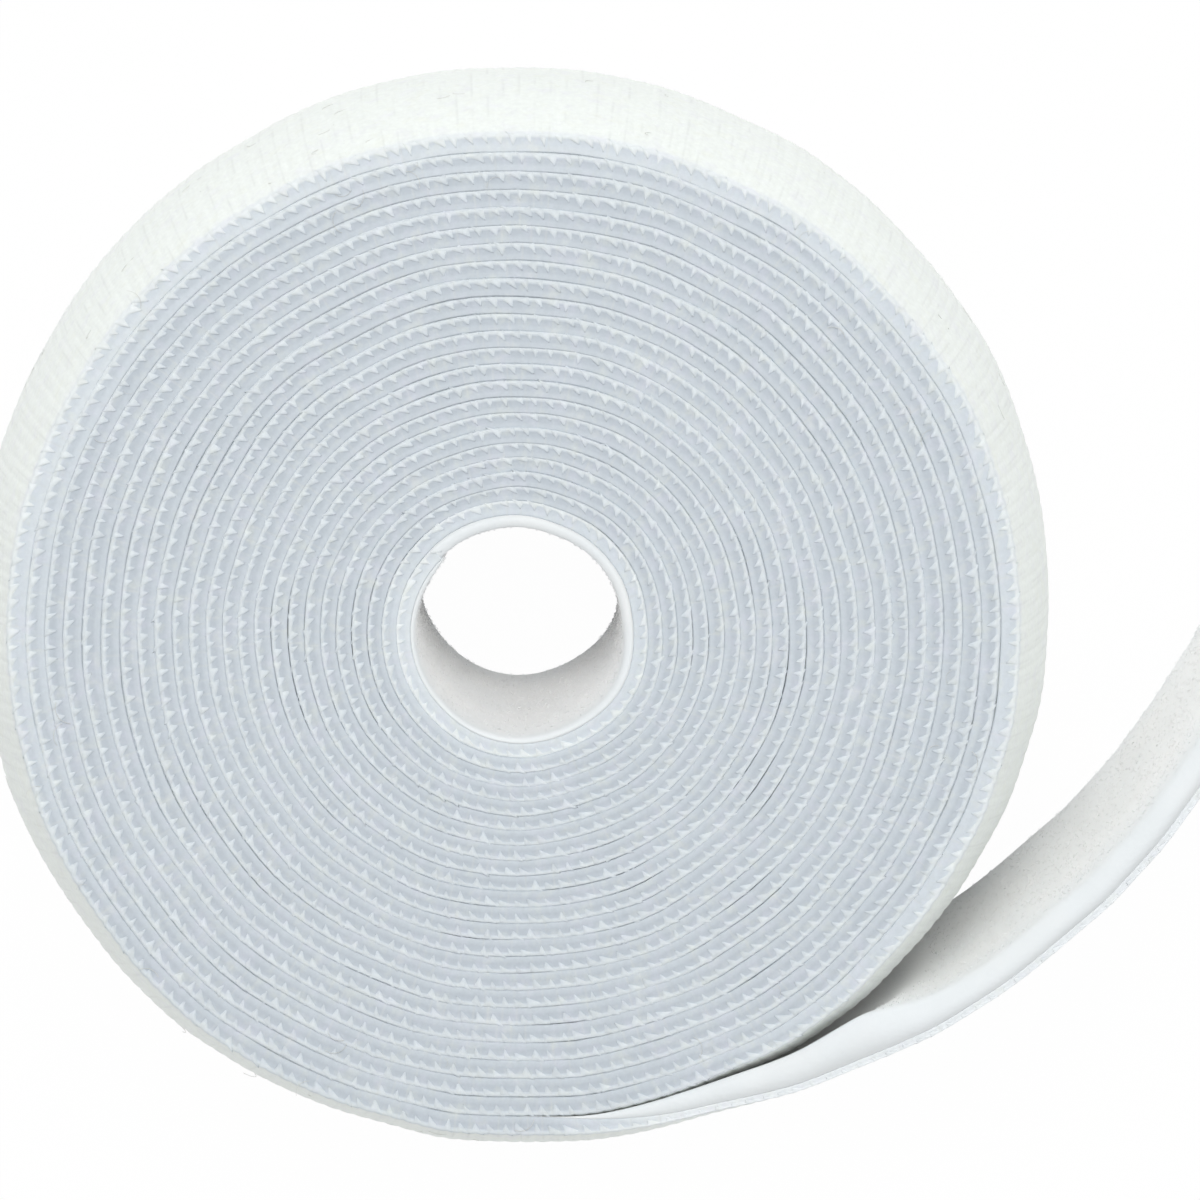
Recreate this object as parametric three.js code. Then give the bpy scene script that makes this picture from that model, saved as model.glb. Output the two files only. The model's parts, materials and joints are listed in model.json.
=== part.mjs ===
// Roll of woven loop tape, lying flat on its lower selvedge, with its free end standing on edge.
// One tape is wound in a spiral from the bore outwards. Its woven ground web faces outwards and its
// loop pile faces the bore. The last stretch has left the roll and curls away from it.
// Millimetres, +Z up, roll axis vertical, origin under the middle of the whole part.
import * as THREE from 'three';

// Tape
const tapeWidth = 25;
const webThickness = 0.55;
const selvedgeWidth = 1.5; // edge strip that carries no pile
const pileHeight = 0.7;
const pressedPileHeight = 0.2; // pile still squeezed where the free end leaves the roll
const pileSeat = 0.35; // clearance between web and pile

// Winding
const boreRadius = 8.4; // to the web of the innermost turn, at its selvedges
const pitchAtBore = 1.06; // radial growth in one turn, tight at the bore
const pitchAtRim = 1.42; // and looser at the rim
const fullTurns = 23;
const innerEndAngle = THREE.MathUtils.degToRad(135);
const departureAngle = THREE.MathUtils.degToRad(270);
const stepsPerTurn = 24;
const crownAtBore = -0.3; // how far the tape's middle stands out from its selvedges
const crownAtRim = 2.86; // thick pile under the middle adds up turn by turn

// Free end
const tailLength = 67;
const tailPieces = 6;
const rootCurlLength = 30;
const rootCurlRadius = 64;
const curlRadius = 56.5;
const crownFadeLength = 50; // the free end flattens over this length
const pileRiseLength = 26; // and its pile springs up over this one
const tailLean = 0.9; // the lower selvedge stands this much nearer the roll
const leanLength = 25;
const flexGap = 0.4; // open slit at each flex line
const stepsPerPiece = 6;

// Sizes that follow from the ones above
const turn = 2 * Math.PI;
const windingTurns = fullTurns + (departureAngle - innerEndAngle) / turn;
const windingSteps = Math.round(windingTurns * stepsPerTurn);
const midHeight = tapeWidth / 2;
const endRun = webThickness; // straight end of the winding, square to the cut
const tailStart = endRun + flexGap;
const pieceLength = (tailLength - endRun) / tailPieces - flexGap;
const rimRadius = outerRadius(windingTurns);
const departureSlope = Math.atan(pitchAtRim / turn / rimRadius);

// Radius of the web's outer face after some turns. The pitch grows evenly from bore to rim.
function outerRadius(turns) {
  const looser = (pitchAtRim - pitchAtBore) * turns ** 2 / (2 * windingTurns);
  return boreRadius + webThickness + pitchAtBore * turns + looser;
}

function windingCrown(turns) {
  return crownAtBore + (crownAtRim - crownAtBore) * turns / windingTurns;
}

// A station is a place along the tape: a point on the web's outer face, the way the face looks,
// the way the tape runs, and how far its middle stands out and its lower selvedge leans in.
function station(x, y, heading, crown, lean = 0) {
  return {
    at: new THREE.Vector3(x, y, 0),
    along: new THREE.Vector3(Math.cos(heading), Math.sin(heading), 0),
    out: new THREE.Vector3(Math.sin(heading), -Math.cos(heading), 0),
    crown,
    lean,
  };
}

function woundStation(turns) {
  const angle = innerEndAngle + turns * turn;
  const radius = outerRadius(turns);
  const quarter = turn / 4;
  const place = [radius * Math.cos(angle), radius * Math.sin(angle)];
  return station(...place, angle + quarter, windingCrown(turns));
}

function shifted(from, run) {
  return { ...from, at: from.at.clone().addScaledVector(from.along, run) };
}

// The free end is two arcs that run on from the rim.
function tailStation(length) {
  const root = Math.min(length, rootCurlLength);
  const rest = length - root;
  const start = -departureSlope;
  const bend = start + root / rootCurlRadius;
  const end = bend + rest / curlRadius;
  const x = rootCurlRadius * (Math.sin(bend) - Math.sin(start))
    + curlRadius * (Math.sin(end) - Math.sin(bend));
  const y = rootCurlRadius * (Math.cos(start) - Math.cos(bend))
    + curlRadius * (Math.cos(bend) - Math.cos(end));
  const fade = THREE.MathUtils.smoothstep(length, 0, crownFadeLength);
  const lean = tailLean * THREE.MathUtils.smoothstep(length, 0, leanLength);
  return station(x, y - rimRadius, end, crownAtRim * (1 - fade), lean);
}

// Six corners of a strip across the tape, between two depths below the web's outer face.
// The strip starts and ends one margin in from the selvedges and bends at mid height.
function section(place, shallow, deep, margin) {
  const corner = (depth, height) => {
    const bulge = place.crown * (1 - Math.abs(height - midHeight) / midHeight);
    const lean = place.lean * (1 - height / tapeWidth);
    const point = place.at.clone().addScaledVector(place.out, bulge - lean - depth);
    return point.setZ(height);
  };
  const low = margin;
  const high = tapeWidth - margin;
  return [
    corner(deep, low), corner(shallow, low), corner(shallow, midHeight),
    corner(shallow, high), corner(deep, high), corner(deep, midHeight),
  ];
}

const outerFaceCorners = [1, 2, 3];
const innerFaceCorners = [0, 5, 4];

function webSection(place) {
  return section(place, 0, webThickness, 0);
}

function pileSection(place, height) {
  const top = webThickness + pileSeat;
  return section(place, top, top + height, selvedgeWidth);
}

// One closed body through a row of sections that have the same number of corners.
function loft(sections) {
  const sides = sections[0].length;
  const faces = [];
  for (let fan = 0; fan < sides - 2; fan += 1) {
    faces.push(sides - 1, fan, fan + 1);
    const last = (sections.length - 1) * sides;
    faces.push(last + sides - 1, last + fan + 1, last + fan);
  }
  for (let row = 0; row < sections.length - 1; row += 1) {
    for (let side = 0; side < sides; side += 1) {
      const a = row * sides + side;
      const b = row * sides + (side + 1) % sides;
      faces.push(a, a + sides, b, b, a + sides, b + sides);
    }
  }
  const geometry = new THREE.BufferGeometry().setFromPoints(sections.flat());
  geometry.setIndex(faces);
  geometry.computeVertexNormals();
  return geometry;
}

const webMaterial = new THREE.MeshStandardMaterial({ color: '#eef2f0', roughness: 0.85, metalness: 0 });
const pileMaterial = new THREE.MeshStandardMaterial({ color: '#f3f4ef', roughness: 0.95, metalness: 0 });

function piece(name, sections, material, origin) {
  const geometry = loft(sections);
  geometry.translate(-origin.x, -origin.y, -origin.z);
  const mesh = new THREE.Mesh(geometry, material.clone());
  mesh.name = name;
  return mesh;
}

// The winding is one unbroken strip from its inner cut end to the line where the free end starts.
function windingStations() {
  const stations = [];
  for (let step = 0; step <= windingSteps; step += 1) {
    stations.push(woundStation(step / stepsPerTurn));
  }
  const first = shifted(stations[0], -endRun);
  const last = shifted(stations[windingSteps], endRun);
  return [first, ...stations, last];
}

// Least clearance between one turn and the next, on points spread over the facing surfaces.
function leastGap(sections) {
  const shares = [0, 0.25, 0.5, 0.75, 1];
  const spread = (from, to) => shares.map((share) => from.clone().lerp(to, share));
  const facePoints = (row, corners) => {
    const [low, middle, high] = corners;
    const across = (ring) => [
      ...spread(ring[low], ring[middle]),
      ...spread(ring[middle], ring[high]),
    ];
    const here = across(sections[row]);
    const there = across(sections[row + 1]);
    return here.flatMap((point, index) => spread(point, there[index]));
  };
  let least = Infinity;
  for (let row = 0; row + stepsPerTurn + 1 < sections.length; row += 1) {
    const outside = facePoints(row, outerFaceCorners);
    const inside = facePoints(row + stepsPerTurn, innerFaceCorners);
    for (const from of outside) {
      for (const to of inside) least = Math.min(least, from.distanceTo(to));
    }
  }
  return least;
}

function windingWeb() {
  const sections = windingStations().map(webSection);
  console.log(`least gap between turns ${leastGap(sections).toFixed(3)} mm`);
  return piece('wound_web', sections, webMaterial, new THREE.Vector3());
}

// Pile of the innermost turn, which lines the bore and stops short of the inner cut end.
function borePile() {
  const stations = [];
  for (let step = 0; step < stepsPerTurn; step += 1) {
    stations.push(woundStation(step / stepsPerTurn));
  }
  const sections = stations.map((place) => pileSection(place, pileHeight));
  return piece('bore_pile', sections, pileMaterial, new THREE.Vector3());
}

function pileHeightAt(length) {
  const share = THREE.MathUtils.smoothstep(length, 0, pileRiseLength);
  return THREE.MathUtils.lerp(pressedPileHeight, pileHeight, share);
}

// The flex line of a piece stands in the middle of its slit, in the web's middle at mid height.
function flexPoint(length) {
  const place = tailStation(length);
  return place.at.clone().addScaledVector(place.out, place.crown - webThickness / 2);
}

// The free end is a chain: each piece hangs on the flex line of the one before.
function freeEnd() {
  let carrier = new THREE.Group();
  const chain = carrier;
  let origin = new THREE.Vector3();
  for (let index = 0; index < tailPieces; index += 1) {
    const start = tailStart + index * (pieceLength + flexGap);
    const flex = flexPoint(start - flexGap / 2);
    const hinge = new THREE.Group();
    hinge.position.copy(flex).sub(origin);
    const lengths = [];
    for (let step = 0; step <= stepsPerPiece; step += 1) {
      lengths.push(start + pieceLength * step / stepsPerPiece);
    }
    const webs = lengths.map((length) => webSection(tailStation(length)));
    const piles = lengths.map((length) => pileSection(tailStation(length), pileHeightAt(length)));
    hinge.add(piece(`tail_web_${index + 1}`, webs, webMaterial, flex));
    hinge.add(piece(`tail_pile_${index + 1}`, piles, pileMaterial, flex));
    carrier.add(hinge);
    carrier = hinge;
    origin = flex;
  }
  return chain;
}

const roll = new THREE.Group();
roll.add(windingWeb(), borePile(), freeEnd());
const box = new THREE.Box3().setFromObject(roll);
const centre = box.getCenter(new THREE.Vector3());
roll.position.set(-centre.x, -centre.y, -box.min.z);

const tapeRoll = new THREE.Group();
tapeRoll.add(roll);

export default tapeRoll;
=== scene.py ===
"""Looks of a roll of woven loop tape with one free end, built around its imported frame.

Metres, +Z up. The roll lies flat on its lower selvedge. Every stretch of tape follows one of two
rules, the winding's spiral or the free end's two arcs, and geometry nodes sweep, rib and fringe it.
"""

import json
import math

import bpy
from bpy.props import FloatProperty, FloatVectorProperty, IntProperty, PointerProperty
from mathutils import Matrix, Vector


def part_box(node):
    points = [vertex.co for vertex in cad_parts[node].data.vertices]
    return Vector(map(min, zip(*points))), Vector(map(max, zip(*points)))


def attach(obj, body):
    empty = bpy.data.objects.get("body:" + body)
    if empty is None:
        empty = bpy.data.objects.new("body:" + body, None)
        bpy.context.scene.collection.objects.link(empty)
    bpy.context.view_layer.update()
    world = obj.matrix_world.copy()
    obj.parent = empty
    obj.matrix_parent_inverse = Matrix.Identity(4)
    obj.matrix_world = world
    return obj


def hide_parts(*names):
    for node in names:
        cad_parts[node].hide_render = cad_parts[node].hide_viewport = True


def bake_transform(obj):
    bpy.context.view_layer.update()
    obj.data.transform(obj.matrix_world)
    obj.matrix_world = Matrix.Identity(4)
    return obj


bl_info = {
    "name": "Loop Tape Roll",
    "version": (1, 0, 0),
    "blender": (4, 5, 0),
    "location": "3D View > Sidebar > Tape Roll",
    "description": "Dresses a packed roll of woven loop tape",
    "category": "Object",
}

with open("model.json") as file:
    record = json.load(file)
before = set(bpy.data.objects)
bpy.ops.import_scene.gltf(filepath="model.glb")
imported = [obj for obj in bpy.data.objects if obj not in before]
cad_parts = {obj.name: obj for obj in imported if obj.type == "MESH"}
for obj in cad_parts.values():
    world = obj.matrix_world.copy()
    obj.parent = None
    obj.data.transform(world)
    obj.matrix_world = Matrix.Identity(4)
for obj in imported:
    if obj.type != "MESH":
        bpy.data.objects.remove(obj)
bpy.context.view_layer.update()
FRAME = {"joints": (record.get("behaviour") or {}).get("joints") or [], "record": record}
MM = 0.001
TURN = 2 * math.pi
BORE_LOW, BORE_HIGH = FRAME["record"]["physics"]["openings"][0]["box_m"]
AXIS = [(low + high) / 2 for low, high in zip(BORE_LOW, BORE_HIGH)]
FLEX_LINES = [Vector(joint["pos_m"]) for joint in FRAME["joints"]]
TAPE_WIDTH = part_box("wound_web")[1].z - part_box("wound_web")[0].z

# How finely the meshes follow the tape
STEPS_PER_TURN = 96
OUTER_TURN_STEPS = 1784
LINING_STEPS = 120
STEPS_PER_PICK = 8
WOUND_ROWS = 5
OPEN_ROWS = 9


# Sizes and colours that a user may change


def length(name, default, description):
    return FloatProperty(name=name, description=description, default=default, unit="LENGTH")


def ratio(name, default, description):
    return FloatProperty(name=name, description=description, default=default)


def degrees(name, default, description):
    return FloatProperty(
        name=name, description=description, default=math.radians(default), subtype="ANGLE"
    )


def colour(name, default, description):
    return FloatVectorProperty(
        name=name, description=description, default=default, subtype="COLOR", min=0, max=1
    )


class TapeSizes(bpy.types.PropertyGroup):
    """The tape itself."""

    width: length("Width", TAPE_WIDTH, "Across the tape, selvedge to selvedge")
    web: length("Web thickness", 0.55 * MM, "Woven ground without its pile")
    pile: length("Pile height", 2.0 * MM, "Loops of the free end, above the web")
    pressed: length("Pressed pile", 0.03 * MM, "What shows of the loops where they are squeezed")
    clearance: length("Clearance", 0.01 * MM, "Between layers that lie on each other")
    bare: length("Bare edge", 0.08 * MM, "Strip beside the upper selvedge that the pile leaves bare")
    bare_foot: length("Bare foot", 1.5 * MM, "The same strip beside the lower selvedge")
    pick: length("Pick spacing", 1.1 * MM, "From one weft return to the next")
    rib: length("Rib height", 0.08 * MM, "Cross ribs on the web's outer face")
    rise: length("Return height", 0.07 * MM, "How far a weft return stands over the edge")
    loop: length("Loop radius", 0.11 * MM, "Of one loop of the pile")
    filament: length("Filament radius", 0.02 * MM, "Of one thread of the pile")
    density: ratio("Loops per square millimetre", 3.2, "Pile loops on a face")
    seed: IntProperty(name="Seed", description="Picks the scatter of loops and hairs", default=7)


class WindingSizes(bpy.types.PropertyGroup):
    """The spiral from the bore to the rim."""

    bore: length("Bore radius", 8.4 * MM, "To the web of the innermost turn")
    tight: length("Pitch at the bore", 1.06 * MM, "Radial growth of the first turn")
    loose: length("Pitch at the rim", 1.42 * MM, "Radial growth of the last turn")
    turns: ratio("Turns", 23.375, "Wound turns")
    inner_end: degrees("Inner end", 135, "Where the tape starts in the bore")
    crown_in: length("Crown at the bore", -0.3 * MM, "How far the tape's middle stands out")
    crown_out: length("Crown at the rim", 2.86 * MM, "How far the tape's middle stands out")
    overlap: length("Overlap", 0.01 * MM, "How far two turns press into each other")
    waver: length("Waver", 0.45 * MM, "How far the turns stray from an even spiral")
    lining: length("Lining", 0.35 * MM, "Pile in the bore where the tape starts")
    lining_end: length("Lining end", 1.05 * MM, "Pile in the bore one turn further")
    lining_turns: ratio("Lining turns", 0.2, "Turns before the lining starts to get thicker")
    blunt: ratio("Blunt", 0.4, "How much thinner the lining is at its very start")
    blunt_turns: ratio("Blunt turns", 0.03, "Turns over which that is lost")
    first_returns: ratio("First returns", 0.7, "Share of the turns in the first weft returns piece")
    uneven: length("Uneven edge", 0.45 * MM, "How much the upper selvedge rises and falls")


class FreeEndSizes(bpy.types.PropertyGroup):
    """The stretch that has left the roll."""

    length: length("Length", 67 * MM, "From the roll to the tip")
    root_length: length("Root length", 30 * MM, "Length of the first arc")
    root_radius: length("Root radius", 64 * MM, "Radius of the first arc")
    curl_radius: length("Curl radius", 56.5 * MM, "Radius of the second arc")
    crown_fade: length("Crown fade", 50 * MM, "Length over which the tape flattens")
    lean: length("Lean", 0.9 * MM, "How much nearer the roll the lower selvedge stands")
    lean_length: length("Lean length", 25 * MM, "Length over which the lean grows")
    thinning: length("Thinning length", 14 * MM, "Length over which only the bare web is left")
    swell: length("Swell", 1.5 * MM, "How much further the pile reaches into the wedge at the root")
    swell_length: length("Swell length", 24 * MM, "Length that keeps the whole swell")
    gap: length("Gap", 0.06 * MM, "Least space between the pile and the roll")
    opening_start: length("Opening start", 12 * MM, "Where that space starts to grow")
    opening: length("Opening", 0.62 * MM, "How much it has grown one opening length on")
    opening_length: length("Opening length", 10 * MM, "Sets how fast that space grows")
    opening_power: ratio("Opening power", 1.2, "Above 1, that space grows slowly at first")
    settle_length: length("Settle length", 12 * MM, "Length over which the swell is lost")
    square: ratio("Square shoulders", 0.5, "How full the edges of the swollen pile are")
    merging: length("Merging", 0.8 * MM, "How softly the pile leaves the roll's shape for its own")
    loop_spare: length("Loop spare", 0.3 * MM, "Space to the roll that the pile's loops need")
    slit: length("Slit", 0.4 * MM, "Open slit at each flex line of the frame")
    crease: length("Crease", 2.5 * MM, "Length over which the tape bends where it is peeled")
    late: ratio("Late bend", 0.5, "Share of its first half in which the second stretch bends")


class HairSizes(bpy.types.PropertyGroup):
    """Stray fibres."""

    radius: length("Hair radius", 1 * MM, "Radius of a hair's bend")
    sweep: degrees("Hair sweep", 110, "How far a hair bends round")
    offset: length("Hair offset", -0.85 * MM, "From a hair's place to the middle of its bend")
    outer: IntProperty(name="Outer hairs", description="Hairs on the outer face", default=46)
    outer_turns: ratio("Outer hair turns", 0.72, "Turns that carry them")
    edge: IntProperty(name="Edge hairs", description="Hairs on the upper edges", default=34)
    edge_turns: ratio("Edge hair turns", 4.0, "Turns that carry them")


class Colours(bpy.types.PropertyGroup):
    """Finishes."""

    web: colour("Web", (0.87, 0.905, 0.87), "Woven ground")
    # Cooler selvedge: partly the edge's own tone, partly painted shade of the roll's face
    edge: colour("Selvedge", (0.635, 0.688, 0.73), "Where the weft turns back")
    # Painted shade of the hollows between the weft returns and of the gaps between turns
    hollow: colour("Hollows", (0.507, 0.556, 0.603), "Between the weft returns")
    # Paler selvedge; in the last turns this paints a glow of light through the outer face
    pale: colour("Pale selvedge", (0.82, 0.855, 0.87), "Around the bore, at the rim, on the free end")
    pile: colour("Pile", (0.985, 0.98, 0.97), "Looped pile")
    # Cooler, greyer pile edge: partly thinner pile, partly painted cool shade
    shoulder: colour("Pile edge", (0.81, 0.845, 0.855), "Thinner pile beside the bare edges")
    # Painted shade in the valleys between the cross ribs
    dash: colour("Rib valleys", (0.66, 0.68, 0.66), "Short dashes between the cross ribs")
    violet: colour("Violet patches", (0.76, 0.74, 0.86), "Faint patches on the web")
    olive: colour("Olive patches", (0.82, 0.84, 0.72), "Faint patches on the web")
    cool: colour("Cool patches", (0.90, 0.93, 0.95), "Faint patches on the pile")
    warm: colour("Warm patches", (0.93, 0.915, 0.885), "Faint patches on the pile")
    hair_dark: colour("Dark hair", (0.62, 0.62, 0.57), "Stray fibres, the darker ones")
    hair_pale: colour("Pale hair", (0.80, 0.81, 0.79), "Stray fibres, the paler ones")
    floor: colour("Floor", (0.9, 0.9, 0.9), "Surface that the roll lies on")


class StageSizes(bpy.types.PropertyGroup):
    """Camera, lamps and floor."""

    lens: length("Lens", 315.6 * MM, "Focal length on a 36 mm sensor")
    distance: length("Distance", 773.8 * MM, "From the roll's upper face to the camera")
    tilt: degrees("Tilt", 11.403, "Camera's lean from the vertical")
    roll: degrees("Roll", -0.229, "Camera's turn about its own line of sight")
    aim_right: degrees("Aim right", -0.4433, "Camera's aim beside the axis")
    aim_up: degrees("Aim up", 0.1841, "Camera's aim above the axis")
    floor: length("Floor", 6.0, "Side of the floor")
    whiteness: ratio("Whiteness", 0.98, "How much of the floor the camera sees as plain white")
    world: colour("World", (0.97, 0.985, 1.0), "Colour of the light all round")
    ambient: ratio("World strength", 0.42, "Strength of the light all round")


# Numbers that flow through a node tree


class Wire:
    """A number, or anything else, that a node gives. Sums with it become Math nodes."""

    def __init__(self, tree, socket):
        self.tree = tree
        self.socket = socket

    def through(self, operation, *others):
        made = self.tree.nodes.new("ShaderNodeMath")
        made.operation = operation
        for socket, value in zip(made.inputs, (self, *others)):
            feed(self.tree, socket, value)
        return Wire(self.tree, made.outputs[0])

    def __add__(self, other):
        return self.through("ADD", other)

    def __sub__(self, other):
        return self.through("SUBTRACT", other)

    def __mul__(self, other):
        return self.through("MULTIPLY", other)

    def __truediv__(self, other):
        return self.through("DIVIDE", other)

    def __rsub__(self, other):
        return self * -1 + other

    __radd__ = __add__
    __rmul__ = __mul__


def feed(tree, socket, value):
    if isinstance(value, Wire):
        tree.links.new(value.socket, socket)
    else:
        socket.default_value = value


def node(tree, kind, inputs=None, **settings):
    """A new node with its settings, then its inputs by name."""
    made = tree.nodes.new(kind)
    for name, value in settings.items():
        setattr(made, name, value)
    for name, value in (inputs or {}).items():
        socket = next(s for s in made.inputs if s.enabled and s.name == name)
        feed(tree, socket, value)
    return made


def first(made):
    """The first output that a node shows."""
    return Wire(made.id_data, next(s for s in made.outputs if s.enabled))


def get(tree, kind, inputs=None, **settings):
    return first(node(tree, kind, inputs, **settings))


def sine(value):
    return value.through("SINE")


def cosine(value):
    return value.through("COSINE")


def eased(value, end):
    """0 at 0, 1 from end on, smooth between."""
    share = (value / end).through("MAXIMUM", 0.0).through("MINIMUM", 1.0)
    return share * share * (3 - 2 * share)


def vector(tree, x=0.0, y=0.0, z=0.0):
    return get(tree, "ShaderNodeCombineXYZ", {"X": x, "Y": y, "Z": z})


def chance(tree, low, high, seed):
    """A random number for each point or instance."""
    return get(tree, "FunctionNodeRandomValue", {"Min": low, "Max": high, "Seed": seed})


def noise(tree, scale, detail, inputs, **settings):
    inputs = inputs | {"Scale": scale, "Detail": detail}
    return get(tree, "ShaderNodeTexNoise", inputs, **settings)


def attribute(tree, name):
    return get(tree, "GeometryNodeInputNamedAttribute", {"Name": name})


def stored(tree, geometry, name, value, **settings):
    inputs = {"Geometry": geometry, "Name": name, "Value": value}
    return get(tree, "GeometryNodeStoreNamedAttribute", inputs, **settings)


def geometry_tree(name):
    """A tree with an input for every size, and those inputs as wires."""
    tree = bpy.data.node_groups.new(name, "GeometryNodeTree")
    kinds = {"Geometry": "Geometry", "Material": "Material"}
    for label, value in tree_sizes().items():
        kinds[label] = "Int" if isinstance(value, int) else "Float"
    add = tree.interface.new_socket
    add("Geometry", in_out="OUTPUT", socket_type="NodeSocketGeometry")
    for label, kind in kinds.items():
        add(label, in_out="INPUT", socket_type=f"NodeSocket{kind}")
    given = node(tree, "NodeGroupInput")
    return tree, {s.name: Wire(tree, s) for s in given.outputs if s.name}


def closed_tree(tree, size, geometry):
    """Ends a tree: its instances made real, smooth but for their end caps, and in their material."""
    real = get(tree, "GeometryNodeRealizeInstances", {"Geometry": geometry})
    sides = node(tree, "GeometryNodeInputMeshFaceNeighbors").outputs["Vertex Count"]
    inputs = {"Geometry": real, "Shade Smooth": Wire(tree, sides).through("LESS_THAN", 4.5)}
    smooth = get(tree, "GeometryNodeSetShadeSmooth", inputs)
    inputs = {"Geometry": smooth, "Material": size["Material"]}
    dressed = get(tree, "GeometryNodeSetMaterial", inputs)
    node(tree, "NodeGroupOutput", {"Geometry": dressed})
    return tree


def grown(name, mesh, tree, material, sizes):
    """An object whose mesh went through a tree and is plain again."""
    piece = bpy.data.objects.new(name, mesh)
    bpy.context.collection.objects.link(piece)
    modifier = piece.modifiers.new(tree.name, "NODES")
    modifier.node_group = tree
    for socket in tree.interface.items_tree:
        if socket.in_out == "INPUT" and socket.name in sizes:
            modifier[socket.identifier] = sizes[socket.name]
        elif socket.name == "Material":
            modifier[socket.identifier] = material
    depsgraph = bpy.context.evaluated_depsgraph_get()
    plain = bpy.data.meshes.new_from_object(
        piece.evaluated_get(depsgraph), preserve_all_data_layers=True, depsgraph=depsgraph
    )
    piece.modifiers.clear()
    piece.data = plain
    plain.name = name
    return piece


# The two rules that the tape follows

# Scales of the noise that bends the turns and lifts the selvedge, and what that lift is taken from
WAVER_SCALE = 90.0
UNEVEN_SCALE = 11.0
UNEVEN_MIDDLE = 0.6


def tree_sizes(start=0.0, end=1.0, steps=1, copies=0, face=0.0):
    """What the trees need to know: every size of the tape, and the stretch that they make. face
    is 1 for hairs on the outer face and 0 for hairs across the edges."""
    sizes = {"start": start, "end": end, "steps": steps, "copies": copies, "face": face}
    for label in ("tape_sizes", "winding_sizes", "free_end_sizes", "hair_sizes"):
        group = getattr(bpy.context.scene, label)
        sizes |= {name: getattr(group, name) for name in group.__annotations__}
    return sizes


def growth(size):
    """Radius at the inner end, the pitch there, and half of what a turn adds to the pitch."""
    looser = (size["loose"] - size["tight"]) / (2 * size["turns"])
    return size["bore"] + size["web"], size["tight"], looser


def wound_length(size, turns):
    """Tape length from the inner end to some turns out, for numbers as well as for wires."""
    base, pitch, looser = growth(size)
    return TURN * (base * turns + pitch * turns * turns / 2 + looser * turns * turns * turns / 3)


def spiral(size, turns):
    """Radius of the tape's outer face, and its crown, after some turns."""
    base, pitch, looser = growth(size)
    grown_crown = (size["crown_out"] - size["crown_in"]) * turns / size["turns"]
    return base + pitch * turns + looser * turns * turns, size["crown_in"] + grown_crown


def winding_station(size, turns):
    """A place on the winding, with the wires of its point, facing, crown, lean and thickness."""
    radius, crown = spiral(size, turns)
    tight, looser = growth(size)[1:]
    angle = size["inner_end"] + turns * TURN
    pitch = tight + looser * (2 * turns - 1)
    return {
        "x": AXIS[0] + radius * cosine(angle),
        "y": AXIS[1] + radius * sine(angle),
        "out x": cosine(angle),
        "out y": sine(angle),
        "heading": angle + TURN / 4,
        "crown": crown,
        "lean": 0.0,
        "thickness": pitch + size["overlap"],
        "run": wound_length(size, turns) - wound_length(size, size["turns"]),
        "pale": paler_with_painted_glow(size, turns, angle),
        "tooth": 1.0,
    }


# How much of the selvedge's cool colour is lost (in the last turns, a painted glow), over how many
# turns, and how much of its teeth
PALE_SHARE = 0.6
PALE_BORE_TURNS = 2.0
PALE_RIM_TURNS = 2.2
PALE_FREE_SHARE = 0.95
WORN_SHARE = 0.8


def paler_with_painted_glow(size, turns, angle):
    """How much of the selvedge's cool colour is lost: around the bore, and in the last turns as a
    painted glow, as of light from the bright outer face shining through them, strong at the back and
    the sides but not at the front."""
    facing = sine(angle) + cosine(angle).through("MAXIMUM", 0.0) * 1.2
    last = eased(turns - size["turns"] + PALE_RIM_TURNS, PALE_RIM_TURNS)
    rim = last * eased(facing + 0.75, 1.2)
    return PALE_SHARE * rim + PALE_SHARE * (1 - eased(turns, PALE_BORE_TURNS))


def free_station(size, run):
    """A place on the free end, which is two arcs that run on from the rim."""
    rim = size["bore"] + size["web"]
    rim = rim + (size["tight"] + size["loose"]) / 2 * size["turns"]
    slope = (size["loose"] / rim / TURN).through("ARCTANGENT")
    root = run.through("MINIMUM", size["root_length"])
    bend = root / size["root_radius"] - slope
    end = bend + (run - root) / size["curl_radius"]
    start = 0 - slope
    near, far = size["root_radius"], size["curl_radius"]
    x = near * (sine(bend) - sine(start)) + far * (sine(end) - sine(bend))
    y = near * (cosine(start) - cosine(bend)) + far * (cosine(bend) - cosine(end))
    pressed = size["loose"] + size["overlap"]
    thinner = (pressed - size["web"]) * eased(run, size["thinning"])
    return {
        "x": AXIS[0] + x,
        "y": AXIS[1] + y - rim,
        "out x": sine(end),
        "out y": 0 - cosine(end),
        "heading": end,
        "crown": size["crown_out"] * (1 - eased(run, size["crown_fade"])),
        "lean": size["lean"] * eased(run, size["lean_length"]),
        "thickness": pressed - thinner,
        "run": run,
        "pale": PALE_FREE_SHARE * eased(run, size["thinning"]),
        "tooth": 1 - WORN_SHARE * eased(run, size["thinning"]),
    }


def bulge(size, crown, height):
    """How far a crowned tape stands out at some height."""
    off = height / (size["width"] / 2) - 1
    return crown * (1 - off * off)


def standing_out(size, place, height):
    """How far the tape's outer face stands out there, its crown and its lean together."""
    return bulge(size, place["crown"], height) - place["lean"] * (1 - height / size["width"])


def waver(size, x, y):
    """How far the tape strays outwards from its rule at some place."""
    cloud = noise(x.tree, WAVER_SCALE, 1.0, {"Vector": vector(x.tree, x, y)})
    return 2 * size["waver"] * (cloud - 0.5)


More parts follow.
